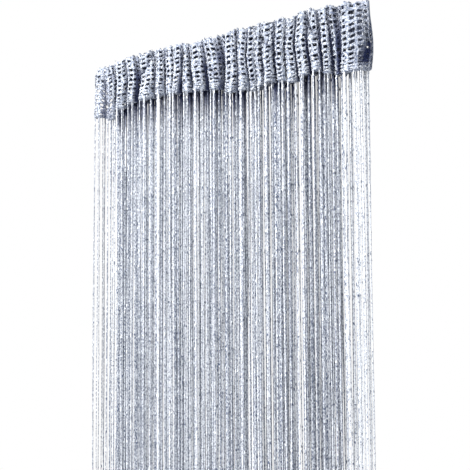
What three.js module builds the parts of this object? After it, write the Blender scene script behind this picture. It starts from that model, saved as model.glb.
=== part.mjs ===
// A string curtain: a pleated openwork heading, folded over and joined along its lower edge so that it
// holds an open rod pocket, and one fringe of strings hanging from that edge. Sizes are in millimetres.
// X runs along the width, +Y is behind the curtain and +Z is up. The origin is the middle of the top edge.

import * as THREE from 'three';

const totalDrop = 2000; // from the top edge to the ends of the strings
const clothDepth = 2.6; // one layer of the heading, measured straight from front to back
const edgeGap = 0.4; // between the heading's lower edge and the fringe

// The heading's pleats from left to right: where each crest, and the valley to its right, lies along the
// width, how far the cloth stands forward at the crest and back at the valley, how far the top edge
// rises above the origin there, how far the lower edge drops below it, and how far the pleat leans to
// the right from its top to its foot.
const pleats = [
  { crest: -228, valley: -217, forward: 6, back: 1, rise: -3, drop: 80, lean: -6 },
  { crest: -207, valley: -192, forward: 7, back: 5, rise: 0, drop: 82, lean: -2 },
  { crest: -180, valley: -168, forward: 7, back: 6, rise: 3, drop: 74, lean: 2 },
  { crest: -158, valley: -144, forward: 6, back: 8, rise: 5, drop: 67, lean: 3 },
  { crest: -128, valley: -111, forward: 8, back: 7, rise: 5, drop: 67, lean: 2 },
  { crest: -99, valley: -89, forward: 7, back: 6, rise: 4, drop: 66, lean: 3 },
  { crest: -80, valley: -74, forward: 5, back: 2, rise: 4, drop: 67, lean: 3 },
  { crest: -68, valley: -58, forward: 6, back: 8, rise: 3, drop: 68, lean: 2 },
  { crest: -49, valley: -39, forward: 6, back: 6, rise: 2, drop: 69, lean: 3 },
  { crest: -28, valley: -13, forward: 8, back: 6, rise: -1, drop: 71, lean: 3 },
  { crest: 0, valley: 17, forward: 8, back: 8, rise: 0, drop: 74, lean: 3 },
  { crest: 33, valley: 43, forward: 8, back: 5, rise: 3, drop: 84, lean: 2 },
  { crest: 53, valley: 61, forward: 7, back: 5, rise: 1, drop: 84, lean: 3 },
  { crest: 68, valley: 73, forward: 5, back: 3, rise: 1, drop: 87, lean: 3 },
  { crest: 79, valley: 85, forward: 5, back: 4, rise: 2, drop: 83, lean: 2 },
  { crest: 94, valley: 105, forward: 8, back: 7, rise: 1, drop: 81, lean: 3 },
  { crest: 114, valley: 121, forward: 6, back: 6, rise: 0, drop: 82, lean: 4 },
  { crest: 128, valley: 136, forward: 6, back: 6, rise: -2, drop: 86, lean: 3 },
  { crest: 144, valley: 153, forward: 7, back: 6, rise: 0, drop: 80, lean: 3 },
  { crest: 162, valley: 171, forward: 8, back: 8, rise: 1, drop: 78, lean: 4 },
  { crest: 178, valley: 185, forward: 6, back: 8, rise: 0, drop: 84, lean: 3 },
  { crest: 191, valley: 198, forward: 1, back: 8, rise: 0, drop: 87, lean: 4 },
  { crest: 213, valley: 236, forward: 9, back: 8, rise: -3, drop: 88, lean: 3 },
];
const leftEnd = { x: -243, offset: 2, rise: -11, drop: 78, lean: -10 }; // the cloth's left end
const rightEnd = { rise: -9, drop: 93, lean: 2 }; // and its right end, at the last valley

// The heading in section, from the top edge (level 0) to the lower edge (level 1). back is the back
// layer's outer face's distance behind the pleat line. The back layer goes round the rod with shallower
// pleats, pleatShare of the front's, and is narrower, widthShare of the front's.
const frontFaceForward = 1.6; // the front layer's outer face, before the pleat line
const sectionRows = [
  { level: 0, back: 1.8, pleatShare: 1, widthShare: 1 },
  { level: 0.16, back: 6, pleatShare: 0.95, widthShare: 0.995 },
  { level: 0.32, back: 21, pleatShare: 0.6, widthShare: 0.98 },
  { level: 0.48, back: 31, pleatShare: 0.35, widthShare: 0.97 },
  { level: 0.66, back: 34, pleatShare: 0.3, widthShare: 0.965 },
  { level: 0.84, back: 32, pleatShare: 0.35, widthShare: 0.965 },
  { level: 1, back: 1.8, pleatShare: 1, widthShare: 1 },
];
const pocketTopLevel = 0.19; // the hollow between the layers begins here
const pocketFootLevel = 0.96; // and ends here
const firstPocketRow = 2; // the section rows that lie inside the hollow
const lastPocketRow = 5;

const topPleatShare = 0.35; // depth of the pleats at the top edge, as a share of their full depth
const pleatGrowth = 2; // over 1 keeps the pleats shallow down to the rod
const lowerEdgeBack = 5; // how far the lower edge hangs behind the top edge
const crestFlatness = 1.5; // over 1 makes the crests broader than the valleys
const stepsFromCrest = [0, 0.45, 0.8]; // places of the fold lines between a crest and a valley

const middlingColumn = { x: 0, offset: 0, rise: 0, drop: 76, lean: 0 };

const fringeThickness = 2.4;
const fringeBarHeight = 7;

// Faces of the heading, numbered from front to back.
const outerFront = -2;
const innerFront = -1;
const betweenFaces = 0;
const innerBack = 1;
const outerBack = 2;

// A row part of the way, t, from one row to another, for the named columns.
function blendRows(first, second, t, names) {
  return Object.fromEntries(names.map((name) => [name, THREE.MathUtils.lerp(first[name], second[name], t)]));
}

// One knot for each crest, valley and end. A valley's heights are halfway between its neighbours'.
function makeKnots() {
  const knots = [{ ...leftEnd, isCrest: false }];
  pleats.forEach((pleat, index) => {
    const { crest, valley, forward, back, rise, drop, lean } = pleat;
    const next = pleats[index + 1];
    const atValley = next ? blendRows(pleat, next, 0.5, ['rise', 'drop', 'lean']) : rightEnd;
    knots.push({ x: crest, offset: -forward, rise, drop, lean, isCrest: true });
    knots.push({ x: valley, offset: back, ...atValley, isCrest: false });
  });
  return knots;
}

// The cloth between a crest and a valley; t is 0 at the crest and 1 at the valley.
function betweenKnots(crest, valley, t) {
  const share = (1 - Math.cos(Math.PI * t ** crestFlatness)) / 2;
  return {
    ...blendRows(crest, valley, t, ['x']),
    ...blendRows(crest, valley, share, ['offset', 'rise', 'drop', 'lean']),
  };
}

// Upright fold lines from left to right, shared by the heading and the fringe.
function makeColumns() {
  const knots = makeKnots();
  const columns = [];
  for (let i = 0; i + 1 < knots.length; i += 1) {
    const [left, right] = [knots[i], knots[i + 1]];
    const [crest, valley] = left.isCrest ? [left, right] : [right, left];
    const stretch = stepsFromCrest.map((t) => betweenKnots(crest, valley, t));
    stretch.push(betweenKnots(crest, valley, 1));
    stretch.sort((a, b) => a.x - b.x);
    columns.push(...stretch.slice(0, -1));
  }
  columns.push(knots.at(-1));
  return columns;
}

// The section at any level, between the rows above and below it.
function sectionAt(level) {
  const below = Math.max(1, sectionRows.findIndex((row) => row.level >= level));
  const [upper, lower] = [sectionRows[below - 1], sectionRows[below]];
  const t = (level - upper.level) / (lower.level - upper.level);
  return blendRows(upper, lower, t, ['back', 'pleatShare', 'widthShare']);
}

// Place of a point of the heading on one of its faces, or between its inner faces.
function headingPoint(column, level, face) {
  const section = sectionAt(level);
  const depthShare = THREE.MathUtils.lerp(topPleatShare, 1, level ** pleatGrowth);
  const hang = lowerEdgeBack * level;
  const frontY = hang + column.offset * depthShare - frontFaceForward;
  const backY = hang + column.offset * depthShare * section.pleatShare + section.back;
  const places = {
    [outerFront]: frontY,
    [innerFront]: frontY + clothDepth,
    [betweenFaces]: (frontY + backY) / 2,
    [innerBack]: backY - clothDepth,
    [outerBack]: backY,
  };
  const widthShare = face > 0 ? section.widthShare : (1 + section.widthShare) / 2;
  const width = face < 0 ? 1 : widthShare;
  return new THREE.Vector3(
    column.x * width + column.lean * (level - 0.5),
    places[face],
    column.rise - (column.rise + column.drop) * level,
  );
}

// Geometry keeps 32-bit numbers, so points are looked up by their 32-bit values.
function pointKey(x, y) {
  return `${Math.fround(x)} ${Math.fround(y)}`;
}

// The section is drawn as it is at a middling column and run from column to column. Then each point
// is moved to its own column's place for the level and face that it was drawn for.
function makeHeading(columns) {
  const drawnFor = new Map();
  const draw = (level, face) => {
    const place = headingPoint(middlingColumn, level, face);
    drawnFor.set(pointKey(place.y, place.z), { level, face });
    return new THREE.Vector2(place.y, place.z);
  };
  const onFace = (face) => (row) => draw(row.level, face);
  const outer = [...sectionRows.map(onFace(outerFront)), ...sectionRows.map(onFace(outerBack)).reverse()];
  const pocketRows = sectionRows.slice(firstPocketRow, lastPocketRow + 1);
  const hollow = [
    draw(pocketTopLevel, betweenFaces),
    ...pocketRows.map(onFace(innerFront)),
    draw(pocketFootLevel, betweenFaces),
    ...pocketRows.map(onFace(innerBack)).reverse(),
  ];
  const section = new THREE.Shape(outer);
  section.holes.push(new THREE.Path(hollow));

  const lastColumn = columns.length - 1;
  const geometry = new THREE.ExtrudeGeometry(section, {
    depth: lastColumn,
    steps: lastColumn,
    bevelEnabled: false,
  });
  const places = geometry.attributes.position;
  for (let i = 0; i < places.count; i += 1) {
    const column = columns[Math.round(places.getZ(i))];
    const { level, face } = drawnFor.get(pointKey(places.getX(i), places.getY(i)));
    const place = headingPoint(column, level, face);
    places.setXYZ(i, place.x, place.y, place.z);
  }
  geometry.computeVertexNormals();
  return geometry;
}

// A comb: a bar along the lower edge with a tooth of strings under every second stretch of it.
function makeFringe(columns) {
  const edge = columns.map((column) => headingPoint(column, 1, betweenFaces));
  const barFoot = (point) => new THREE.Vector2(point.x, point.z - edgeGap - fringeBarHeight);
  const outline = edge.map((point) => new THREE.Vector2(point.x, point.z - edgeGap));
  for (let i = edge.length - 1; i > 0; i -= 1) {
    const [right, left] = [edge[i], edge[i - 1]];
    const hasTooth = i % 2 === 0;
    outline.push(barFoot(right));
    if (hasTooth) {
      outline.push(new THREE.Vector2(right.x, -totalDrop));
      outline.push(new THREE.Vector2(left.x, -totalDrop));
    }
  }
  outline.push(barFoot(edge[0]));

  const geometry = new THREE.ExtrudeGeometry(new THREE.Shape(outline), {
    depth: fringeThickness,
    steps: 1,
    bevelEnabled: false,
  });
  const pleatLine = new Map(edge.map((point) => [Math.fround(point.x), point.y]));
  const places = geometry.attributes.position;
  for (let i = 0; i < places.count; i += 1) {
    const middle = pleatLine.get(places.getX(i));
    const y = middle + fringeThickness / 2 - places.getZ(i);
    places.setXYZ(i, places.getX(i), y, places.getY(i));
  }
  geometry.computeVertexNormals();
  return geometry;
}

function makePiece(name, geometry, colour) {
  const material = new THREE.MeshStandardMaterial({ color: colour, roughness: 0.6, metalness: 0.15 });
  const mesh = new THREE.Mesh(geometry, material);
  mesh.name = name;
  return mesh;
}

const columns = makeColumns();
const curtain = new THREE.Group();
curtain.add(makePiece('heading', makeHeading(columns), 0xcfd3e0));
curtain.add(makePiece('string_fringe', makeFringe(columns), 0xc3c8d6));

export default curtain;
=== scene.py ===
import math

import bpy
import numpy as np
from mathutils import Matrix, Vector


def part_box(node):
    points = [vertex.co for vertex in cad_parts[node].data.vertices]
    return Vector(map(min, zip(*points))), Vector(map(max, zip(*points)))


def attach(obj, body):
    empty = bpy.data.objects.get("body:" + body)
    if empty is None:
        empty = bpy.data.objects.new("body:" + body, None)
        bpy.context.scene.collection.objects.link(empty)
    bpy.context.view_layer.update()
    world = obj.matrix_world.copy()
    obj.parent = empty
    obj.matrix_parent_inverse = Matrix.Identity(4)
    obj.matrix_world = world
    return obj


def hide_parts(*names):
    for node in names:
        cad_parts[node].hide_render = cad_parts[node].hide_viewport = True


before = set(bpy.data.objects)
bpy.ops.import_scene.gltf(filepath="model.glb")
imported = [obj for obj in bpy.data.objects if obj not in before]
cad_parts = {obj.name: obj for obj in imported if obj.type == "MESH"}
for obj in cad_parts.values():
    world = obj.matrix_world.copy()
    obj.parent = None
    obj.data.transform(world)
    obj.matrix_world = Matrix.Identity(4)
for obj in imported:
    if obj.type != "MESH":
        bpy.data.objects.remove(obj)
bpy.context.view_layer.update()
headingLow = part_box("heading")[0]
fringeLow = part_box("string_fringe")[0]
mm = 0.001
tiny = 1e-9  # the least length that is divided by


# Camera, floor and light. Lengths are in metres from the middle of the hanging edge, angles in degrees.

cameraView = {
    "aside": 0.5529,
    "ahead": 0.7159,
    "below": 0.3296,
    "turn": 35.78,
    "tilt": 3.21,
    "roll": -0.345,
    "lens": 50.0,
    "sensorWidth": 36.0,
    "clipStart": 0.01,
}


# The camera looks along one direction, turned to the left and tilted up. Its own right and up are the
# level direction across that and the one upright to both, rolled a little about the line of sight.
def addCamera(view):
    turn, tilt, roll = (math.radians(view[name]) for name in ("turn", "tilt", "roll"))
    sight = Vector((-math.sin(turn) * math.cos(tilt), math.cos(turn) * math.cos(tilt), math.sin(tilt)))
    level = Vector((math.cos(turn), math.sin(turn), 0))
    upright = level.cross(sight)
    right = math.cos(roll) * level + math.sin(roll) * upright
    up = math.cos(roll) * upright - math.sin(roll) * level
    camera = bpy.data.objects.new("camera", bpy.data.cameras.new("camera"))
    camera.data.lens = view["lens"]
    camera.data.sensor_width = view["sensorWidth"]
    camera.data.clip_start = view["clipStart"]
    place = Vector((view["aside"], -view["ahead"], -view["below"]))
    camera.matrix_world = Matrix.Translation(place) @ Matrix((right, up, -sight)).transposed().to_4x4()
    bpy.context.scene.collection.objects.link(camera)
    bpy.context.scene.camera = camera


studio = {
    "floorGap": 4 * mm,
    "floorRadius": 2.6,
    "floorSides": 96,
    "floorRoughness": 0.8,
    "floorColour": (0.86, 0.87, 0.88, 1),
    "skyColour": (0.93, 0.96, 1, 1),
    "skyStrength": 0.71,
    # place, size, power in watts and colour of each soft lamp
    "lamps": {
        "key": ((-1.5, -1.7, 0.95), 0.7, 94, (1, 1, 1)),
        "near": ((-0.35, -0.9, 0.5), 0.4, 8, (1, 1, 1)),
        "fill": ((2.4, -1.6, -0.3), 1.6, 9, (0.93, 0.96, 1)),
    },
}


# The floor is a flat disc: its rim is the cosine and the sine of even steps of a turn, times its radius.
def addFloor(settings, height):
    steps = np.linspace(0, 2 * np.pi, settings["floorSides"], endpoint=False)
    rim = np.stack([np.cos(steps), np.sin(steps), 0 * steps], 1) * settings["floorRadius"]
    rim[:, 2] = height
    floor = addMesh("floor", rim, [range(len(rim))])
    paint = NodeMaterial("paleFloor")
    paint.finish({"Base Color": settings["floorColour"], "Roughness": settings["floorRoughness"]})
    floor.data.materials.append(paint.data)


# Soft lamps, a dim sky and, straight in view, a plain white background.
def addLamps(settings, target):
    for name, (place, size, power, colour) in settings["lamps"].items():
        lamp = bpy.data.lights.new(name, "AREA")
        lamp.size = size
        lamp.energy = power
        lamp.color = colour
        stand = bpy.data.objects.new(name, lamp)
        stand.location = place
        stand.rotation_mode = "QUATERNION"
        stand.rotation_quaternion = (Vector(target) - Vector(place)).to_track_quat("-Z", "Y")
        bpy.context.scene.collection.objects.link(stand)
    world = bpy.data.worlds.new("studio")
    world.use_nodes = True
    sky = NodeTree(world.node_tree)
    dim = {"Color": settings["skyColour"], "Strength": settings["skyStrength"]}
    lightSky = sky.node("ShaderNodeBackground", sockets=dim)
    plainSky = sky.node("ShaderNodeBackground", sockets={"Color": (1, 1, 1, 1)})
    inView = sky.node("ShaderNodeLightPath", output="Is Camera Ray")
    mixed = sky.node("ShaderNodeMixShader", sockets={0: inView, 1: lightSky, 2: plainSky})
    sky.node("ShaderNodeOutputWorld", sockets={"Surface": mixed})
    bpy.context.scene.world = world
    bpy.context.scene.view_settings.view_transform = "Standard"


# A mesh from an array of places and a list or array of faces, put into the scene.
def addMesh(name, places, faces):
    mesh = bpy.data.meshes.new(name)
    mesh.from_pydata(np.asarray(places).tolist(), [], [list(face) for face in faces])
    mesh.validate()
    made = bpy.data.objects.new(name, mesh)
    bpy.context.scene.collection.objects.link(made)
    return made


# One number for each point of a mesh, which a material reads by its name.
def addValues(made, name, values):
    attribute = made.data.attributes.new(name, "FLOAT", "POINT")
    attribute.data.foreach_set("value", np.asarray(values, np.float32))


# An output socket with arithmetic: each operation on it adds a Math node to its tree.
class Wire:
    def __init__(self, tree, socket):
        self.tree = tree
        self.socket = socket

    def maths(self, operation, first, second):
        return self.tree.node("ShaderNodeMath", {"operation": operation}, {0: first, 1: second})

    def __add__(self, other):
        return self.maths("ADD", self, other)

    def __sub__(self, other):
        return self.maths("SUBTRACT", self, other)

    def __rsub__(self, other):
        return self.maths("SUBTRACT", other, self)

    def __mul__(self, other):
        return self.maths("MULTIPLY", self, other)

    __radd__ = __add__
    __rmul__ = __mul__


# A tree of nodes, emptied first.
class NodeTree:
    def __init__(self, tree):
        self.tree = tree
        self.tree.nodes.clear()

    # Adds a node of a kind: its settings first, then the values or links of its sockets.
    def node(self, kind, settings=None, sockets=None, output=0):
        made = self.tree.nodes.new(kind)
        for name, value in (settings or {}).items():
            setattr(made, name, value)
        for key, value in (sockets or {}).items():
            if isinstance(value, Wire):
                self.tree.links.new(value.socket, made.inputs[key])
            else:
                made.inputs[key].default_value = value
        return Wire(self, made.outputs[output]) if made.outputs else made

    # The first colour where the share is 0 and the second where it is 1.
    def mixColours(self, share, first, second):
        return self.node("ShaderNodeMix", {"data_type": "RGBA"}, {0: share, 6: first, 7: second}, 2)

    def scaleColour(self, colour, share):
        return self.node("ShaderNodeVectorMath", {"operation": "SCALE"}, {0: colour, "Scale": share})

    # From 0 where the value is low to 1 where it is high, smoothly.
    def ramp(self, value, low, high):
        sockets = {"Value": value, "From Min": low, "From Max": high}
        return self.node("ShaderNodeMapRange", {"interpolation_type": "SMOOTHSTEP"}, sockets)

    # Noise whose patches are about as wide as size.
    def noise(self, place, size, detail=2.0):
        return self.node("ShaderNodeTexNoise", sockets={"Vector": place, "Scale": 1 / size, "Detail": detail})

    def attribute(self, name):
        return self.node("ShaderNodeAttribute", {"attribute_name": name}, output="Fac")


# A material with one principled shader.
class NodeMaterial(NodeTree):
    def __init__(self, name):
        self.data = bpy.data.materials.new(name)
        self.data.use_nodes = True
        super().__init__(self.data.node_tree)

    def finish(self, sockets):
        shader = self.node("ShaderNodeBsdfPrincipled", sockets=sockets)
        self.node("ShaderNodeOutputMaterial", sockets={"Surface": shader})
        return self.data


# The pleats, from left to right, in millimetres: where each crest, and the valley to its right, lies
# along the width, how far the cloth stands forward at the crest and back at the valley, how far the top
# edge rises there, how far the lower edge drops, how far the pleat leans to the right to its foot, how
# deep the painted shade in its valley is, and how wide: at 1 it reaches the crest, and past that it
# covers it.
pleatColumns = ("crest", "valley", "forward", "back", "rise", "drop", "lean", "shade", "spread")
pleatRows = (
    (-228, -217, 6, 1, -3, 80, -6, 0.65, 1.3),
    (-204, -191, 8, 5, 0, 89, 5, 0.85, 0.7),
    (-180, -168, 7, 6, 3, 74, 2, 0.8, 0.6),
    (-158, -144, 6, 9, 5, 67, 3, 1.3, 1.35),
    (-128, -111, 8, 7, 5, 68, 1, 0.95, 0.7),
    (-99, -89, 7, 6, 4, 66, 4, 0.95, 0.7),
    (-80, -74, 5, 2, 4, 67, 3, 0.6, 0.5),
    (-68, -58, 6, 9, 3, 68, 0, 1.3, 1.3),
    (-49, -39, 6, 7, 2, 70, 5, 1.2, 1.0),
    (-28, -13, 8, 6, -1, 71, 2, 1.0, 0.8),
    (0, 17, 8, 9, 0, 74, 3, 0.85, 1.5),
    (33, 43, 8, 6, 3, 84, 4, 1.1, 0.85),
    (53, 61, 7, 5, 1, 84, 2, 1.0, 0.7),
    (68, 73, 5, 3, 1, 87, 3, 0.8, 0.6),
    (79, 85, 5, 4, 2, 82, 0, 0.9, 0.7),
    (94, 105, 8, 7, 1, 81, 5, 1.1, 0.8),
    (114, 121, 6, 6, 0, 82, 4, 1.0, 0.75),
    (128, 136, 6, 6, -2, 86, 2, 1.1, 0.85),
    (144, 153, 7, 7, 0, 80, 4, 1.2, 1.05),
    (162, 171, 8, 8, 1, 78, 4, 1.3, 1.3),
    (178, 185, 6, 8, 0, 84, 2, 1.2, 1.2),
    (191, 198, 1, 8, 0, 87, 4, 1.5, 1.9),
    (213, 235, 9, 3, -3, 88, 1, 0.3, 1.7),
)
# The left end is one more valley, and the right end lies at the last valley.
leftEnd = {"x": -243, "offset": 2, "rise": -11, "drop": 78, "lean": -10}
rightEnd = {"rise": -4, "drop": 88, "lean": -4}

# Short slanting folds across the pleats: where each starts and ends, along the width in millimetres and
# as a level, its half width and its depth in millimetres, and how deep its painted shade is.
slantColumns = ("startX", "startLevel", "endX", "endLevel", "reach", "depth", "shade")
slantRows = (
    (-214, 0.35, -207, 0.85, 9, 2, 0.45),
    (-224, 0.5, -204, 0.98, 3, 4, 0.7),
    (-201, 0.08, -189, 0.45, 3, 4, 0.8),
    (-115, 0.08, -136, 0.42, 3, 5, 0.8),
    (-52, 0.1, -60, 0.55, 3, 4, 0.7),
    (-6, 0.55, 14, 0.95, 3, 4, 0.7),
    (84, 0.2, 107, 0.55, 3, 5, 0.75),
    (150, 0.1, 168, 0.5, 3, 4, 0.7),
    (235, 0.63, 229, 0.85, 7, 4, 1.25),
)

# The back layer in section, from the top edge (level 0) to the lower edge (level 1): its distance behind
# the pleat line in millimetres, and the shares of the front's pleat depth and width that it keeps.
backSection = {
    "level": (0, 0.16, 0.32, 0.48, 0.66, 0.84, 0.94, 1),
    "back": (0.6, 6, 20, 29, 32, 29, 15, 0.8),
    "pleatShare": (1, 0.95, 0.6, 0.35, 0.3, 0.35, 0.7, 1),
    "widthShare": (1, 0.995, 0.98, 0.97, 0.965, 0.965, 0.985, 1),
}

# How the cloth lies. Lengths are in metres, and reaches are shares of its height or its width.
cloth = {
    "flatWidth": 0.90,
    "usualHeight": 0.076,
    "crestFlatness": 2.3,
    "depthGain": 1.3,
    "topPleatShare": 0.22,
    "pleatGrowth": 2.0,
    "lowerEdgeBack": 5 * mm,
    "frontGap": 0.9 * mm,
    "gapReach": 0.06,
    "topReach": 0.22,
    "topRagged": 2.6 * mm,
    "pucker": 1.9 * mm,
    "puckers": 62,
    "puckerDrift": 2.5,
    "backRipple": 2.6 * mm,
    "backRipples": 47,
    "rippleDrift": 3,
    "wander": 0.9 * mm,
    "wanderDepth": 0.6,
    "sweep": 3.6 * mm,
    "endReach": 0.05,
    "fullness": 0.4,
    "leftEndShade": 0.5,
    "rightOfValley": 0.7,
    "patchyShade": 0.35,
    # where a valley's shade starts and where it is full, each with how much sooner at a spread of 1
    "shadeReach": ((0.62, 0.46), (0.9, 0.48)),
}

# Slow noises over the cloth laid flat: the seed, the steps over its whole width and the step along it.
flatNoises = {
    "pucker": (3, 23, 1),
    "ripple": (4, 19, 1),
    "wanderBack": (5, 60, 0.03),
    "wanderAside": (6, 50, 0.025),
    "topEdge": (7, 130, 1),
}

# Slow noises over the heading as it hangs: the seed, the step along the width and the steps down it.
hungNoises = {
    "sweep": (8, 0.03, 2.1),
    "fullness": (9, 0.026, 2.4),
    "patches": (10, 0.014, 3),
}
hungNoiseStart = 40
noisePeriod = 256


# Values on a lattice of seeded random numbers from -1 to 1, blended smoothly between its points.
def smoothNoise(seed, across, along):
    lattice = np.random.default_rng(seed).uniform(-1, 1, (noisePeriod + 1, noisePeriod + 1))
    column, row = np.floor(across).astype(int), np.floor(along).astype(int)
    fractionAcross, fractionAlong = across - column, along - row
    blendAcross = fractionAcross * fractionAcross * (3 - 2 * fractionAcross)
    blendAlong = fractionAlong * fractionAlong * (3 - 2 * fractionAlong)
    column, row = column % noisePeriod, row % noisePeriod
    upper = lattice[column, row] * (1 - blendAcross) + lattice[column + 1, row] * blendAcross
    lower = lattice[column, row + 1] * (1 - blendAcross) + lattice[column + 1, row + 1] * blendAcross
    return upper * (1 - blendAlong) + lower * blendAlong


# Noise of the cloth laid flat, by the share of its width and the metres along it.
def flatNoise(name, across, along):
    seed, steps, length = flatNoises[name]
    return smoothNoise(seed, across * steps, along / length)


# Noise of the heading as it hangs, by the place along its width and the level.
def hungNoise(name, x, level):
    seed, width, steps = hungNoises[name]
    return smoothNoise(seed, x / width + hungNoiseStart, steps * level)


# From 0 at low to 1 at high: three times the square of the share of the way, less twice its cube.
def smoothStep(low, high, value):
    share = np.clip((value - low) / (high - low), 0, 1)
    return share * share * (3 - 2 * share)


# A smooth curve through points: between two of them it is the cubic whose slope at each is the slope
# from the point before to the point after.
def smoothCurve(places, values, wanted):
    places, values = np.asarray(places, float), np.asarray(values, float)
    slopes = np.gradient(values, places)
    left = np.clip(np.searchsorted(places, wanted) - 1, 0, len(places) - 2)
    span = places[left + 1] - places[left]
    t = (wanted - places[left]) / span
    return (
        values[left] * (1 + 2 * t) * (1 - t) ** 2
        + slopes[left] * span * t * (1 - t) ** 2
        + values[left + 1] * t * t * (3 - 2 * t)
        + slopes[left + 1] * span * t * t * (t - 1)
    )


# The pleat line, run through its crests and valleys at full depth: from a crest the cloth goes back by
# half of one less the cosine of pi times t to the power of the flatness, where t is the way gone to the
# valley. Each value is given at every sample, with the share of the cloth's width used up to there.
def makePleatLine(settings, samples=28):
    table = {name: np.array(pleatRows, float)[:, i] for i, name in enumerate(pleatColumns)}
    knots = {}
    for name in ("x", "offset", "rise", "drop", "lean"):
        if name == "x":
            crest, valley = table["crest"], table["valley"]
        elif name == "offset":
            crest, valley = -table["forward"], table["back"]
        else:
            crest = table[name]
            valley = np.append((crest[1:] + crest[:-1]) / 2, rightEnd[name])
        pairs = np.stack([crest, valley], 1).ravel()
        knots[name] = np.append(leftEnd[name], pairs) * mm
    way = np.linspace(0, 1, samples, endpoint=False)
    leftIsCrest = np.arange(len(knots["x"]) - 1) % 2 == 1
    fromCrest = np.where(leftIsCrest[:, None], way, 1 - way)
    valleyShare = (1 - np.cos(np.pi * fromCrest ** settings["crestFlatness"])) / 2
    share = np.where(leftIsCrest[:, None], valleyShare, 1 - valleyShare)
    line = {"valley": np.append(valleyShare.ravel(), 1)}
    for name in ("shade", "spread"):
        byValley = np.append(settings["leftEndShade"] * table[name][0], table[name])
        nearest = np.minimum((np.arange(len(knots["x"]) - 1) + 1) // 2, len(byValley) - 1)
        perPiece = byValley[nearest]
        if name == "spread":
            perPiece = np.where(leftIsCrest, perPiece, np.minimum(perPiece, settings["rightOfValley"]))
        line[name] = np.append(np.repeat(perPiece, samples), byValley[-1])
    for name, values in knots.items():
        blend = way if name == "x" else share
        blended = values[:-1, None] * (1 - blend) + values[1:, None] * blend
        line[name] = np.append(blended.ravel(), values[-1])
    line["offset"] *= settings["depthGain"]
    steps = np.hypot(np.diff(line["x"]), np.diff(line["offset"]))
    line["across"] = np.append(0, np.cumsum(steps)) / steps.sum()
    print("pleat line: the cloth's width at full depth is", round(float(steps.sum()), 3), "m")
    return line


# How the back layer's length, as a share from the top edge to the lower edge, goes with its level.
def makeBackRun(height, samples=200):
    level = np.linspace(0, 1, samples)
    depth = smoothCurve(backSection["level"], backSection["back"], level) * mm
    steps = np.hypot(np.diff(depth), np.diff(level) * height)
    print("back layer:", round(float(steps.sum()), 4), "m long where the front is", height)
    return np.append(0, np.cumsum(steps)) / steps.sum(), level


# The slanting folds at places along the width and down the front: each is a trough whose depth and
# painted shade fall with the square of the way to the nearest place on its line, as e to the power of
# less that square.
def slantTroughs(x, drop, height):
    deep, shaded = 0 * x, 0 * x
    for row in slantRows:
        fold = dict(zip(slantColumns, row))
        startX, startDrop = fold["startX"] * mm, fold["startLevel"] * height
        runX, runDrop = fold["endX"] * mm - startX, fold["endLevel"] * height - startDrop
        share = ((x - startX) * runX + (drop - startDrop) * runDrop) / (runX**2 + runDrop**2)
        share = np.clip(share, 0, 1)
        gap = np.hypot(x - startX - share * runX, drop - startDrop - share * runDrop)
        trough = np.exp(-((gap / (fold["reach"] * mm)) ** 2))
        deep = np.maximum(deep, fold["depth"] * mm * trough)
        shaded = np.maximum(shaded, fold["shade"] * trough)
    return deep, shaded


# Places of the cloth. across is the share of its width from the left, and along is the way in metres
# from the front's lower edge, up the front, over the top edge and down the back to the lower edge.
# Height falls evenly with level. Depth is the pleat line's, growing from the top edge down as level to
# a power, and behind it the back section's depth. The pleats sweep a little aside and deepen or flatten
# by slow noise.
def clothPlaces(across, along):
    value = {name: np.interp(across, line["across"], line[name]) for name in line}
    height = value["rise"] + value["drop"]
    onFront = along <= height
    run = np.clip((along - height) / (clothLength - height), 0, 1)
    level = np.where(onFront, 1 - along / height, np.interp(run, *backRun))
    back = smoothCurve(backSection["level"], backSection["back"], level) * mm
    pleatShare = np.where(onFront, 1, smoothCurve(backSection["level"], backSection["pleatShare"], level))
    widthShare = np.where(onFront, 1, smoothCurve(backSection["level"], backSection["widthShare"], level))
    topShare = cloth["topPleatShare"]
    depthShare = topShare + (1 - topShare) * level ** cloth["pleatGrowth"]
    frontGap = -cloth["frontGap"] * smoothStep(0, cloth["gapReach"], level)
    nearTop = np.exp(-((level / cloth["topReach"]) ** 2))
    turn, even = 2 * np.pi * across, 0 * across
    pucker = np.sin(cloth["puckers"] * turn + cloth["puckerDrift"] * flatNoise("pucker", across, even))
    ripple = np.sin(cloth["backRipples"] * turn + cloth["rippleDrift"] * flatNoise("ripple", across, even))
    rippleDepth = np.where(onFront, 0, cloth["backRipple"] * np.sin(np.pi * run))
    fromEnd = smoothStep(0, cloth["endReach"], np.minimum(across, 1 - across))
    sweep = cloth["sweep"] * fromEnd * hungNoise("sweep", value["x"], level)
    fullness = 1 + cloth["fullness"] * hungNoise("fullness", value["x"], level)
    slantDeep, slantShade = slantTroughs(value["x"], level * height, height)
    wander = cloth["wander"] * flatNoise("wanderAside", across, along)
    x = value["x"] * widthShare + value["lean"] * (level - 0.5) + sweep + wander
    y = (
        cloth["lowerEdgeBack"] * level
        + value["offset"] * depthShare * pleatShare * fullness
        + np.where(onFront, slantDeep, 0)
        + np.where(onFront, frontGap, back)
        + cloth["pucker"] * nearTop * pucker
        + rippleDepth * ripple
        + cloth["wanderDepth"] * cloth["wander"] * flatNoise("wanderBack", across, along)
    )
    ragged = cloth["topRagged"] * nearTop * flatNoise("topEdge", across, even)
    z = value["rise"] - height * level + ragged
    # Painted shade in each valley, from where its spread lets it start, patchy by noise, and in the folds.
    start, full = (first - sooner * value["spread"] for first, sooner in cloth["shadeReach"])
    patchy = 1 + cloth["patchyShade"] * hungNoise("patches", value["x"], level)
    hollowShade = np.clip(value["shade"] * patchy, 0, 1) * smoothStep(start, full, value["valley"])
    hollowShade = np.maximum(hollowShade, slantShade)
    return np.stack([x, y, z], -1), level, hollowShade, onFront


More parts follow.
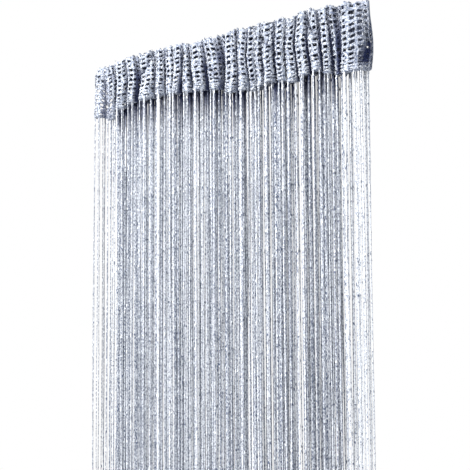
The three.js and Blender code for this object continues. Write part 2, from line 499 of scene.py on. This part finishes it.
# Unit vectors out of the cloth: across its width crossed with along its length.
def clothNormals(across, along):
    step = 0.0004
    sideways = clothPlaces(across + step, along)[0] - clothPlaces(across - step, along)[0]
    upwards = clothPlaces(across, along + step)[0] - clothPlaces(across, along - step)[0]
    normals = np.cross(sideways, upwards)
    return normals / np.maximum(np.linalg.norm(normals, axis=-1, keepdims=True), tiny)


# The openwork net. Each cell has one hole in a raised ring of yarn. Each row of cells, from the front's
# lower edge up, has its height in millimetres, its holes' width and height as shares of the cell, and the
# share of its holes that are nearly shut. The back layer is gathered closer, so its holes are smaller.
denseRows = (
    (3.0, 0.16, 0.14, 0),
    (4.0, 0.6, 0.36, 0.6),
    (4.8, 0.4, 0.32, 0.3),
    (5.8, 0.46, 0.38, 0.15),
)
openRow = (7.2, 0.57, 0.44, 0.06)
net = {
    "seed": 11,
    "columns": 94,
    "openRows": 18,
    "backHoles": 0.33,
    "foldReach": 0.07,
    "foldShrink": 0.6,
    "shutSize": 0.3,
    "sizeSpread": 0.36,
    "heightSpread": 0.15,
    "centreSpread": 0.1,
    "holeRagged": 0.3,
    # painted shade at the holes' edges, at the least
    "holeShade": 0.6,
    "ringHeight": 1.25 * mm,
    "seamHeight": 0.55 * mm,
    "roughness": 0.55 * mm,
    "stitchLift": 0.8,
    # bars wander by a share of a column across and by a length along, by noise of so many steps a column
    "barWander": 0.12,
    "barRise": 8 * mm,
    "barNoise": {"seeds": (21, 22), "steps": 1.5, "along": 6 * mm},
    # rows slide up and down, by noise of so many steps over the width, but not at the cloth's lower edges
    "rowShift": 3.5 * mm,
    "rowNoise": {"seed": 23, "steps": 48, "along": 120 * mm},
    "edgeReach": 30 * mm,
    "patternColumn": 10 * mm,
}
netRows = denseRows + (openRow,) * net["openRows"] + denseRows[::-1]
clothLength = sum(row[0] for row in netRows) * mm

line = makePleatLine(cloth)
backRun = makeBackRun(cloth["usualHeight"])

# One cell: points round its border in thirds, and how a hole's edge turns with them.
borderColumn = np.array([0, 1, 2, 3, 3, 3, 3, 2, 1, 0, 0, 0])
borderRow = np.array([0, 0, 0, 0, 1, 2, 3, 3, 3, 3, 2, 1])
holeAcross = np.array([-0.8, -0.42, 0.42, 0.8, 1, 1, 0.8, 0.42, -0.42, -0.8, -1, -1]) / 2
holeAlong = np.array([-0.8, -1, -1, -0.8, -0.42, 0.42, 0.8, 1, 1, 0.8, 0.42, -0.42]) / 2
cellPoints = len(borderColumn)


# Rows slide along the cloth by slow noise, which fades out towards both lower edges.
def slideRows(settings, across, along):
    noise = settings["rowNoise"]
    toEdge = smoothStep(0, settings["edgeReach"], along)
    toOtherEdge = smoothStep(0, settings["edgeReach"], clothLength - along)
    shift = smoothNoise(noise["seed"], across * noise["steps"], along / noise["along"])
    return along + settings["rowShift"] * toEdge * toOtherEdge * shift


# Lattice points in thirds of a cell, as shares across the cloth and metres along it. They wander by
# noise, but for those on the outline, and slide with their rows.
def makeLattice(settings, rowEdges):
    columns, rows = settings["columns"], len(rowEdges) - 1
    latticeRows = np.interp(np.arange(3 * rows + 1) / 3, np.arange(rows + 1), rowEdges)
    latticeColumns = np.arange(3 * columns + 1) / (3 * columns)
    across, along = (grid.ravel() for grid in np.meshgrid(latticeColumns, latticeRows, indexing="ij"))
    inside = (across > 0) & (across < 1) & (along > 0) & (along < clothLength)
    drift = settings["barWander"] * inside
    noise = settings["barNoise"]
    steps = columns * noise["steps"]
    across = across + drift * smoothNoise(noise["seeds"][0], across * steps, along / noise["along"]) / columns
    rise = smoothNoise(noise["seeds"][1], across * steps, along / noise["along"])
    along = slideRows(settings, across, along + drift * settings["barRise"] * rise)
    return across, along, np.arange(len(across)).reshape(3 * columns + 1, 3 * rows + 1)


# The holes' edges, of twelve points each: a rounded square about its cell's middle, whose size and place
# vary and whose points stand a little in or out. Some holes are nearly shut, and near the fold at the
# top edge and on the back all are smaller.
def makeHoles(settings, rng, column, row, rowEdges):
    cells, columns, rowIndex = len(column), settings["columns"], np.arange(len(rowEdges))
    rowTable = np.array(netRows)[row]
    grow = 1 + settings["sizeSpread"] * rng.uniform(-1, 1, (cells, 1))
    grow = np.where(rng.random((cells, 1)) < rowTable[:, 3:], settings["shutSize"], grow)
    _, level, _, isFront = clothPlaces((column + 0.5) / columns, np.interp(row + 0.5, rowIndex, rowEdges))
    grow = np.where(isFront[:, None], grow, settings["backHoles"] * grow)
    nearFold = np.exp(-((level / settings["foldReach"]) ** 2))
    grow = grow * (1 - settings["foldShrink"] * nearFold[:, None])
    wide = rowTable[:, 1:2] * grow
    tall = rowTable[:, 2:3] * (grow + settings["heightSpread"] * rng.uniform(-1, 1, (cells, 1)))
    centreAcross = (column + 0.5)[:, None] + settings["centreSpread"] * rng.uniform(-1, 1, (cells, 1))
    centreAlong = (row + 0.5)[:, None] + settings["centreSpread"] * rng.uniform(-1, 1, (cells, 1))
    ragged = 1 + settings["holeRagged"] * rng.uniform(-1, 1, (cells, cellPoints))
    edgeAcross = (centreAcross + wide * holeAcross * ragged) / columns
    edgeAlong = np.interp(centreAlong + tall * holeAlong * ragged, rowIndex, rowEdges)
    return edgeAcross, slideRows(settings, edgeAcross, edgeAlong), isFront


# The lattice carries the cells' borders, on the outer side and the inner side of the cloth. On the outer
# side of each cell a raised ring stands halfway from its border to its hole's edge. Points are lifted
# along the cloth's normal by a height and a little random roughness.
def makeNet(settings):
    rng = np.random.default_rng(settings["seed"])
    columns, rows = settings["columns"], len(netRows)
    rowEdges = np.append(0, np.cumsum(np.array(netRows)[:, 0])) * mm
    across, along, latticeId = makeLattice(settings, rowEdges)
    column, row = (grid.ravel() for grid in np.meshgrid(np.arange(columns), np.arange(rows), indexing="ij"))
    border = latticeId[3 * column[:, None] + borderColumn, 3 * row[:, None] + borderRow]
    edgeAcross, edgeAlong, isFront = makeHoles(settings, rng, column, row, rowEdges)
    ringAcross = ((edgeAcross + across[border]) / 2).ravel()
    ringAlong = ((edgeAlong + along[border]) / 2).ravel()
    edgeAcross, edgeAlong = edgeAcross.ravel(), edgeAlong.ravel()

    def lift(a, b, height):
        rough = settings["roughness"] * rng.uniform(-1, 1, a.shape)
        return clothPlaces(a, b)[0], clothNormals(a, b) * (height + rough)[..., None]

    borderPlace, borderLift = lift(across, along, settings["seamHeight"])
    ringPlace, ringLift = lift(ringAcross, ringAlong, settings["ringHeight"])
    edgePlace = clothPlaces(edgeAcross, edgeAlong)[0]
    places = np.concatenate(
        [borderPlace + borderLift, borderPlace - borderLift, ringPlace + ringLift, edgePlace]
    )
    lattice, ring = len(across), len(ringAcross)
    ringId = 2 * lattice + np.arange(ring).reshape(-1, cellPoints)
    edgeId = ringId + ring
    faces = [bandFaces(border, ringId), bandFaces(ringId, edgeId)]
    faces.append(bandFaces(border + lattice, edgeId)[:, ::-1])
    faces = np.concatenate(faces + closeOutline(latticeId, lattice))

    # Painted shade of each point: outer hollows, the pocket's inside, and more at the holes' edges.
    borderShade, ringShade, edgeShade = (
        outerShade(*clothPlaces(a, b)[1:])
        for a, b in ((across, along), (ringAcross, ringAlong), (edgeAcross, edgeAlong))
    )
    edgeShade = settings["holeShade"] + (1 - settings["holeShade"]) * edgeShade
    shade = np.concatenate([borderShade, innerShade(across), ringShade, edgeShade])
    clothU = np.concatenate([across, across, ringAcross, edgeAcross])
    clothV = np.concatenate([along, along, ringAlong, edgeAlong])
    used, faces = np.unique(faces, return_inverse=True)
    made = addMesh("heading_net", places[used], faces.reshape(-1, 4))
    addValues(made, "shade", shade[used])
    addUv(made, clothU[used] * columns * settings["patternColumn"], clothV[used])
    made.data.shade_smooth()
    ringShape = (len(column), cellPoints)
    isDense = np.minimum(row, rows - 1 - row) < len(denseRows)
    crests = {
        "place": (ringPlace + settings["stitchLift"] * ringLift).reshape(*ringShape, 3),
        "out": ringLift.reshape(*ringShape, 3),
        "shade": ringShade.reshape(ringShape),
        "front": np.repeat(isFront, cellPoints).reshape(ringShape),
        "dense": np.repeat(isDense, cellPoints).reshape(ringShape),
    }
    return made, crests


# Stitches of yarn over the rings of the net: their sizes, the share of ring points that have one on each
# layer, and how bright they are.
stitches = {
    "seed": 53,
    "halfLength": 1.6 * mm,
    "halfWidth": 0.58 * mm,
    "halfHeight": 0.62 * mm,
    "sizes": (0.7, 1.3),
    "twist": 0.4,
    "twistSpread": 0.35,
    "scatter": 0.3 * mm,
    "frontShare": 0.95,
    "backShare": 0.45,
    "brightShare": 0.34,
    "brightTones": (0.92, 1.08),
    "otherTones": (0.45, 0.98),
    "darkShare": 0.15,
    "darkShareDense": 0.32,
    "darkTone": 0.14,
}


# Each stitch is a grain of eight faces: two points along it, two across it and two through it, from its
# middle. It lies along its ring, turned a little to either side by turns as in a plait.
def makeStitches(settings, crests):
    rng = np.random.default_rng(settings["seed"])
    along = np.roll(crests["place"], -1, 1) - np.roll(crests["place"], 1, 1)
    turn = settings["twist"] * np.where(np.arange(cellPoints) % 2, 1, -1)
    turn = turn + settings["twistSpread"] * rng.uniform(-1, 1, crests["shade"].shape)
    share = np.where(crests["front"], settings["frontShare"], settings["backShare"])
    chosen = rng.random(share.shape) < share
    place, along, out = crests["place"][chosen], along[chosen], crests["out"][chosen]
    turn, shade = turn[chosen][:, None], crests["shade"][chosen]
    along = along / np.maximum(np.linalg.norm(along, axis=1, keepdims=True), tiny)
    out = out / np.maximum(np.linalg.norm(out, axis=1, keepdims=True), tiny)
    beside = np.cross(out, along)
    lengthways = np.cos(turn) * along + np.sin(turn) * beside
    sideways = np.cross(out, lengthways)
    count = len(place)
    place = place + settings["scatter"] * rng.uniform(-1, 1, (count, 3))
    size = rng.uniform(*settings["sizes"], (count, 3))
    arms = [
        lengthways * settings["halfLength"] * size[:, :1],
        sideways * settings["halfWidth"] * size[:, 1:2],
        out * settings["halfHeight"] * size[:, 2:],
    ]
    corners = np.stack([place + sign * arm for arm in arms for sign in (1, -1)], 1)
    grainFaces = np.array(
        [(0, 2, 4), (2, 1, 4), (1, 3, 4), (3, 0, 4), (2, 0, 5), (1, 2, 5), (3, 1, 5), (0, 3, 5)]
    )
    faces = (grainFaces[None] + 6 * np.arange(count)[:, None, None]).reshape(-1, 3)
    made = addMesh("heading_stitches", corners.reshape(-1, 3), faces)
    bright = rng.random(count) < settings["brightShare"]
    brightTone, otherTone = (rng.uniform(*settings[name], count) for name in ("brightTones", "otherTones"))
    tone = np.where(bright, brightTone, otherTone)
    darkShare = np.where(crests["dense"][chosen], settings["darkShareDense"], settings["darkShare"])
    tone = np.where(rng.random(count) < darkShare, settings["darkTone"], tone)
    # The stitches carry the painted shade of the net where they lie.
    addValues(made, "shade", np.repeat(shade, 6))
    addValues(made, "tone", np.repeat(tone, 6))
    places = corners.reshape(-1, 3)
    addUv(made, places[:, 0] + places[:, 1], places[:, 2])
    made.data.shade_smooth()
    return made


# The four-cornered faces between two rings of points, row by row.
def bandFaces(first, second):
    nextFirst, nextSecond = np.roll(first, -1, 1), np.roll(second, -1, 1)
    return np.stack([first, nextFirst, nextSecond, second], -1).reshape(-1, 4)


# Faces that join the outer and inner sides round the cloth's outline.
def closeOutline(latticeId, innerShift):
    outline = [latticeId[:, 0], latticeId[-1, :], latticeId[::-1, -1], latticeId[0, ::-1]]
    strips = []
    for points in outline:
        here, there = points[:-1], points[1:]
        strips.append(np.stack([here + innerShift, there + innerShift, there, here], -1))
    return strips


# How deep the painted shade on the cloth is, from 0 to 1, in a front hollow at the top edge and at the
# foot, on the back, in the pocket and at the pocket's open ends.
clothShade = {
    "hollowTop": 0.4,
    "hollowFoot": 0.95,
    "hollowLevels": (0.05, 0.5),
    "back": 0.1,
    "pocket": 0.84,
    "openEnd": 0.4,
    "openReach": (0.03, 0.015),
}


# Painted shade in the hollows on the outer side deepens smoothly from the top edge to the foot, and the
# back has only a little.
def outerShade(level, hollowShade, onFront):
    top, foot = clothShade["hollowTop"], clothShade["hollowFoot"]
    share = top + (foot - top) * smoothStep(*clothShade["hollowLevels"], level)
    return np.where(onFront, hollowShade * share, clothShade["back"])


# The inner side has deep painted shade, the shadow inside the pocket, but less close to either end.
def innerShade(across):
    atEnd = smoothStep(*clothShade["openReach"], np.minimum(across, 1 - across))
    return clothShade["pocket"] + (clothShade["openEnd"] - clothShade["pocket"]) * atEnd


# A UV map from one u and one v for each point.
def addUv(made, u, v):
    loops = np.zeros(len(made.data.loops), np.int32)
    made.data.loops.foreach_get("vertex_index", loops)
    layer = made.data.uv_layers.new(name="cloth")
    layer.data.foreach_set("uv", np.stack([u[loops], v[loops]], 1).astype(np.float32).ravel())


# Strings. Front strings hang in pairs under the net's bars, and the rest hang behind them from the back
# layer's foot, in an even row and a loose one. Lengths are in metres.
strings = {
    "startSeed": 31,
    "firstSeed": 41,
    # front strings, in pairs: a full one and its twin
    "pairs": net["columns"] + 1,
    "pairEnds": (0.003, 0.997),
    "acrossLimits": (0.001, 0.999),
    "pairGap": 0.8 * mm,
    "pairGapShares": (0.7, 1.3),
    "frontTone": 1.03,
    # front strings under the valleys are dimmer, as painted shade
    "valleyShadeTone": -0.3,
    "toneSpread": 0.14,
    # painted shade at the tops of front strings that hang from valleys
    "frontShade": 0.8,
    "shadedValleys": (0.25, 0.8),
    "twinTone": 0.88,
    "twinGirth": 0.78,
    # strings behind: how many, from where to where, and how far back, as shares from near to far
    "evenRow": 250,
    "looseRow": 230,
    "behindEnds": (0.012, 0.985),
    "behindNear": 2.5 * mm,
    "behindFar": 13 * mm,
    "evenDepths": (0.5, 1),
    "looseDepths": (0, 0.6),
    "behindRise": 0.3,
    # random tones, lower than in front, paint the shade on the strings behind
    "behindShadedTones": (0.78, 1.02),
    # what differs at the left and the right end
    "leftEnd": (-188 * mm, -204 * mm),
    "leftTone": 0.64,
    "leftGirth": 0.85,
    "rightEnd": (188 * mm, 211 * mm),
    "rightTone": 1.08,
    "endToneSpread": 0.08,
    "frontThinned": (0.5, 0.3),
    "behindThinned": (0.86, 0.4),
    # each string
    "radius": 0.82 * mm,
    "sides": 3,
    "girthSpread": 0.18,
    "ringSpread": 0.12,
    "startInside": 3 * mm,
    "endSpread": 6 * mm,
    "sway": 0.55 * mm,
    "swayShares": (0.5, 1),
    "swayWaves": ((0.9, 1.0), (0.34, 0.5), (0.11, 0.22)),  # period in metres and share of the sway
    # painted shadow on the strings' tops: how far down it goes, and the share of that where it is full
    "shadeDepth": 48 * mm,
    "fullShade": 0.2,
    "patternGap": 50,
    # its knots, closer together in front than behind
    "knotPitch": (27 * mm, 42 * mm),
    "knotWobble": 0.3,
    "belowLastKnot": 0.6,
    "knotReach": 2.2 * mm,
    "reachShares": (0.7, 1.5),
    "knotRadius": 1.35 * mm,
    "knotShares": (0.65, 1.25),
    "knotAside": 0.7,
    # bright knots paint a sparkle highlight on the knots
    "brightKnots": 0.36,
    "brightKnotTone": 1.16,
    "darkKnots": 0.28,
    "darkKnotShare": 0.5,
    "sections": {"front": ("left", "right"), "behind": ("left", "middle", "right")},
}


# Front strings, in pairs at even steps across the cloth: their places, tones, dimmer under valleys as
# painted shade, the painted shade at their tops, and girth.
def startFront(settings, rng):
    pillars = np.repeat(np.linspace(*settings["pairEnds"], settings["pairs"]), 2)
    twin = np.tile([-1, 1], settings["pairs"]) * settings["pairGap"] / cloth["flatWidth"]
    across = pillars + twin * rng.uniform(*settings["pairGapShares"], len(pillars))
    across = np.clip(across, *settings["acrossLimits"])
    place, _, valley, _ = clothPlaces(across, 0 * across)
    place[:, 2] += settings["startInside"]
    spread = settings["toneSpread"] * rng.uniform(-1, 1, len(pillars))
    tone = settings["frontTone"] + settings["valleyShadeTone"] * valley + spread
    tone *= np.tile([1, settings["twinTone"]], settings["pairs"])
    girth = np.tile([1, settings["twinGirth"]], settings["pairs"])
    return place, tone, settings["frontShade"] * smoothStep(*settings["shadedValleys"], valley), girth


# Strings behind, at even steps and at random places along the width, and at random depths, with random
# tones lower than in front as painted shade, and full painted shade at their tops.
def startBehind(settings, rng):
    ends = np.interp(settings["behindEnds"], line["across"], line["x"])
    evenX = np.linspace(ends[0], ends[1], settings["evenRow"])
    looseX = rng.uniform(ends[0], ends[1], settings["looseRow"])
    x = np.concatenate([evenX, looseX])
    across = np.interp(x, line["x"], line["across"])
    place = clothPlaces(across, 0 * across)[0]
    place[:, 0] = x
    evenDepth, looseDepth = (
        rng.uniform(*settings[name], count)
        for name, count in (("evenDepths", len(evenX)), ("looseDepths", len(looseX)))
    )
    nearness = np.concatenate([evenDepth, looseDepth])
    depth = settings["behindNear"] + nearness * (settings["behindFar"] - settings["behindNear"])
    place[:, 1] = cloth["lowerEdgeBack"] + depth
    place[:, 2] += settings["startInside"] + settings["behindRise"] * depth
    return place, rng.uniform(*settings["behindShadedTones"], len(x)), 1 + 0 * x, 1 + 0 * x


# Where each string starts, how bright it is, how deep the painted shade at its top is and its share of
# the full girth, for the front ones and the rest. The shares thinned are left out at the left end and at
# the right end, and towards the left end the strings are thinner. Towards both ends the painted shade
# at their tops fades out.
def makeStarts(settings):
    rng = np.random.default_rng(settings["startSeed"])
    front = startFront(settings, rng)
    behind = startBehind(settings, rng)
    rows = []
    for (place, tone, topShade, girth), thinned in (
        (front, settings["frontThinned"]),
        (behind, settings["behindThinned"]),
    ):
        leftShare = smoothStep(*settings["leftEnd"], place[:, 0])
        rightShare = smoothStep(*settings["rightEnd"], place[:, 0])
        endTone = np.where(place[:, 0] < 0, settings["leftTone"], settings["rightTone"])
        endTone = endTone + settings["endToneSpread"] * rng.uniform(-1, 1, len(tone))
        endShare = leftShare + rightShare
        tone = tone * (1 - endShare) + endTone * endShare
        topShade = topShade * (1 - endShare)
        girth = girth * (1 - (1 - settings["leftGirth"]) * leftShare)
        kept = rng.random(len(tone)) > thinned[0] * leftShare + thinned[1] * rightShare
        rows.append((place[kept], tone[kept], topShade[kept], girth[kept]))
    return rows


# The heights of each string's rings: its start, three rings at each knot (before it, at it and after it)
# and its end. Knots lie at even steps, each moved a little up or down.
def ringHeights(settings, rng, starts, knotPitch):
    count = len(starts)
    ends = fringeLow.z + settings["endSpread"] * rng.uniform(0, 1, count)
    knots = int((starts[:, 2].mean() - fringeLow.z) / knotPitch)
    spacing = (starts[:, 2] - ends) / (knots + settings["belowLastKnot"])
    wobble = settings["knotWobble"] * rng.uniform(-1, 1, (count, knots))
    knotHeights = starts[:, 2:3] - spacing[:, None] * (np.arange(knots) + 0.5 + wobble)
    reach = settings["knotReach"] * rng.uniform(*settings["reachShares"], (count, knots))
    heights = np.stack([knotHeights + reach, knotHeights, knotHeights - reach], 2).reshape(count, -1)
    return np.concatenate([starts[:, 2:3], heights, ends[:, None]], 1), knots


# The radius of each ring: the string's own, a little uneven, and a knot's at every third ring.
def ringRadii(settings, rng, shape, knots):
    own, uneven = settings["girthSpread"], settings["ringSpread"]
    radii = np.full(shape, settings["radius"]) * rng.uniform(1 - own, 1 + own, (shape[0], 1))
    radii *= rng.uniform(1 - uneven, 1 + uneven, shape)
    radii[:, 2:-1:3] = settings["knotRadius"] * rng.uniform(*settings["knotShares"], (shape[0], knots))
    return radii


# How far each ring is aside: the sum of sine waves of the way down from the start, less their value
# there, with each knot a little farther to one side.
def ringSway(settings, rng, below, knots):
    count = len(below)
    aside = np.zeros(below.shape + (2,))
    for axis in range(2):
        for period, size in settings["swayWaves"]:
            phase = rng.uniform(0, 2 * np.pi, (count, 1))
            wave = np.sin(2 * np.pi * below / period + phase) - np.sin(phase)
            share = rng.uniform(*settings["swayShares"], (count, 1))
            aside[..., axis] += settings["sway"] * size * wave * share
    reach = settings["knotAside"]
    aside[:, 2:-1:3] += rng.uniform(-reach, reach, (count, knots, 2)) * settings["radius"]
    return aside


# The tone of each ring is its string's, but for bright knots, a painted sparkle highlight, and dark knots.
def ringTones(settings, rng, tone, rings, knots):
    tones = np.repeat(tone[:, None], rings, 1)
    draw = rng.random((len(tone), knots))
    knotTone = np.where(draw < settings["brightKnots"], settings["brightKnotTone"], tone[:, None])
    isDark = draw > 1 - settings["darkKnots"]
    tones[:, 2:-1:3] = np.where(isDark, settings["darkKnotShare"] * tone[:, None], knotTone)
    return tones


# Strings as tubes with a few sides: each ring is the cosine and sine of even steps of a turn, times its
# radius, about its place. Each string has its own part of the finish's pattern.
def makeStrings(name, settings, knotPitch, starts, tone, topShade, girthShare, seed):
    rng = np.random.default_rng(seed)
    count, sides = len(starts), settings["sides"]
    heights, knots = ringHeights(settings, rng, starts, knotPitch)
    radii = ringRadii(settings, rng, heights.shape, knots) * girthShare[:, None]
    below = starts[:, 2:3] - heights
    aside = ringSway(settings, rng, below, knots)
    angle = np.arange(sides) * 2 * np.pi / sides + rng.uniform(0, 2 * np.pi, (count, 1, 1))
    places = np.empty(heights.shape + (sides, 3))
    places[..., 0] = (starts[:, :1] + aside[..., 0])[..., None] + radii[..., None] * np.cos(angle)
    places[..., 1] = (starts[:, 1:2] + aside[..., 1])[..., None] + radii[..., None] * np.sin(angle)
    places[..., 2] = heights[..., None]
    rings = heights.shape[1]
    ids = np.arange(count * rings * sides).reshape(count, rings, sides)
    upper, lower = ids[:, :-1], ids[:, 1:]
    quads = np.stack([upper, lower, np.roll(lower, -1, 2), np.roll(upper, -1, 2)], -1).reshape(-1, 4)
    caps = np.concatenate([ids[:, 0], ids[:, -1, ::-1]])
    made = addMesh(name, places.reshape(-1, 3), quads.tolist() + caps.tolist())
    # The heading's painted shadow: full at a shaded string's top, fading out down it.
    shadeDepth = settings["shadeDepth"]
    fade = smoothStep(shadeDepth, settings["fullShade"] * shadeDepth, below) * topShade[:, None]
    addValues(made, "shade", np.repeat(fade.ravel(), sides))
    addValues(made, "tone", np.repeat(ringTones(settings, rng, tone, rings, knots).ravel(), sides))
    girth = 2 * np.pi * settings["radius"]
    apart = settings["patternGap"] * girth * np.arange(count)[:, None, None]
    around = np.arange(sides) / sides * girth + apart
    addUv(made, np.broadcast_to(around, ids.shape).ravel(), np.repeat(heights.ravel(), sides))
    made.data.shade_smooth()
    return made


# Finishes. The yarn is silvery with a metallic thread, and its painted shade turns it to a deep blue.
yarn = {
    "light": (0.85, 0.865, 0.89, 1),
    "clothLight": (0.78, 0.8, 0.835, 1),
    "middle": (0.54, 0.58, 0.665, 1),
    "dim": (0.19, 0.23, 0.33, 1),
    # the colours of painted shade, in pits and on dim strings, and of a painted sparkle highlight
    "deep": (0.003, 0.012, 0.068, 1),
    "pit": (0.06, 0.09, 0.18, 1),
    "shadedYarn": (0.53, 0.57, 0.66, 1),
    "spark": (0.88, 0.91, 0.95, 1),
    # the sizes of the patterns
    "stitch": 2.2 * mm,
    "fleck": 2.6 * mm,
    "fleckDetail": 3.0,
    "speck": 3.0 * mm,
    # net: where its flecks turn from dim to middle and to light, and where they are smoother and metallic
    "middleFlecks": (0.38, 0.56),
    "lightFlecks": (0.54, 0.66),
    "smoothFlecks": (0.55, 0.7),
    "metalFlecks": (0.6, 0.75),
    "netRoughness": (0.75, 0.4),
    "netMetal": 0.3,
    "netBump": {"Strength": 0.8, "Distance": 1.2 * mm},
    # strings and stitches: the same for their flecks, dark and bright specks and tones
    "stringFlecks": (0.3, 0.5),
    "pitSpecks": (0.555, 0.58),
    "glintSpecks": (0.425, 0.455),
    "lightTones": (0.7, 1.0),
    "brightTones": (0.85, 1.05),
    "pitShares": (0.95, 0.6),
    "glintShare": 0.9,
    "stringRoughness": (0.7, 0.4),
    "stringMetal": 0.15,
    "stringBump": {"Strength": 0.5, "Distance": 0.6 * mm},
}


# The net's finish: flecks of three tones, the lightest smoother and a little metallic, over fine bumps,
# turned deep blue by the painted shade.
def makeHeadingYarn(settings):
    paint = NodeMaterial("headingYarn")
    place = paint.node("ShaderNodeUVMap", {"uv_map": "cloth"})
    fleck = paint.noise(place, settings["fleck"], settings["fleckDetail"])
    stitch = paint.node("ShaderNodeTexVoronoi", sockets={"Vector": place, "Scale": 1 / settings["stitch"]})
    middleShare, lightShare, smoothShare, metalShare = (
        paint.ramp(fleck, *settings[name + "Flecks"]) for name in ("middle", "light", "smooth", "metal")
    )
    colour = paint.mixColours(middleShare, settings["dim"], settings["middle"])
    colour = paint.mixColours(lightShare, colour, settings["clothLight"])
    # Painted shade turns the colour deep blue.
    colour = paint.mixColours(paint.attribute("shade"), colour, settings["deep"])
    rough, smooth = settings["netRoughness"]
    bump = {"Height": fleck - stitch, **settings["netBump"]}
    return paint.finish(
        {
            "Base Color": colour,
            "Roughness": rough - smoothShare * (rough - smooth),
            "Metallic": metalShare * settings["netMetal"],
            "Normal": paint.node("ShaderNodeBump", sockets=bump),
        }
    )


# Stitches and strings share one finish. Their tone scales the colour, which goes from the low colour to
# the high one as the tone rises. Dark specks of painted shade in the yarn's pits and bright specks of
# painted sparkle highlight, also smoother and a little metallic, lie over it, fewer dark ones where the
# tone is highest, and their painted shade turns it deep.
def makeStringYarn(settings, name, lowColour, highColour):
    paint = NodeMaterial(name)
    place = paint.node("ShaderNodeUVMap", {"uv_map": "cloth"})
    fleck = paint.noise(place, settings["fleck"], settings["fleckDetail"])
    speck = paint.noise(place, settings["speck"])
    tone = paint.attribute("tone")
    glint = 1 - paint.ramp(speck, *settings["glintSpecks"])
    dullPits, brightPits = settings["pitShares"]
    pitShare = dullPits - paint.ramp(tone, *settings["brightTones"]) * (dullPits - brightPits)
    pit = paint.ramp(speck, *settings["pitSpecks"]) * pitShare
    lightShare = paint.ramp(tone, *settings["lightTones"])
    colour = paint.mixColours(lightShare, settings[lowColour], settings[highColour])
    colour = paint.mixColours(paint.ramp(fleck, *settings["stringFlecks"]), settings["middle"], colour)
    colour = paint.scaleColour(colour, tone)
    # painted shade in the yarn's pits
    colour = paint.mixColours(pit, colour, settings["pit"])
    # painted sparkle highlight
    colour = paint.mixColours(glint * settings["glintShare"], colour, settings["spark"])
    # painted shade turns the colour deep blue
    colour = paint.mixColours(paint.attribute("shade"), colour, settings["deep"])
    rough, smooth = settings["stringRoughness"]
    bump = {"Height": fleck + speck, **settings["stringBump"]}
    return paint.finish(
        {
            "Base Color": colour,
            "Roughness": rough - glint * (rough - smooth),
            "Metallic": glint * settings["stringMetal"],
            "Normal": paint.node("ShaderNodeBump", sockets=bump),
        }
    )


# One piece takes its finish, rides on the part's one body and stands for its solid.
def placePiece(piece, finish, node):
    piece.data.materials.append(finish)
    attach(piece, "root")
    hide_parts(node)


addCamera(cameraView)
addFloor(studio, fringeLow.z - studio["floorGap"])
addLamps(studio, (0, 0, (headingLow.z + fringeLow.z) / 4))  # aimed a quarter of the way down
print("stage: camera, floor and lamps are set")

headingNet, crests = makeNet(net)
placePiece(headingNet, makeHeadingYarn(yarn), "heading")
headingStitches = makeStitches(stitches, crests)
stitchFinish = makeStringYarn(yarn, "stitchYarn", "clothLight", "clothLight")
placePiece(headingStitches, stitchFinish, "heading")
netFaces, stitchFaces = (len(piece.data.polygons) for piece in (headingNet, headingStitches))
print("heading: net of", netFaces, "faces and", stitchFaces // 8, "stitches")

# Strings of low tone take the colour of painted shade, and those of high tone the light colour.
stringFinish = makeStringYarn(yarn, "stringYarn", "shadedYarn", "light")
stringPieces = []
for row, (starts, *looks) in zip(("front", "behind"), makeStarts(strings)):
    pitch = strings["knotPitch"][row == "behind"]
    sections = strings["sections"][row]
    for section, chosen in zip(sections, np.array_split(np.argsort(starts[:, 0]), len(sections))):
        name = "strings_" + row + "_" + section
        seed = strings["firstSeed"] + len(stringPieces)
        piece = makeStrings(name, strings, pitch, starts[chosen], *(look[chosen] for look in looks), seed)
        placePiece(piece, stringFinish, "string_fringe")
        stringPieces.append(piece)
        print("strings:", len(chosen), "in", name, "with", len(piece.data.polygons), "faces")
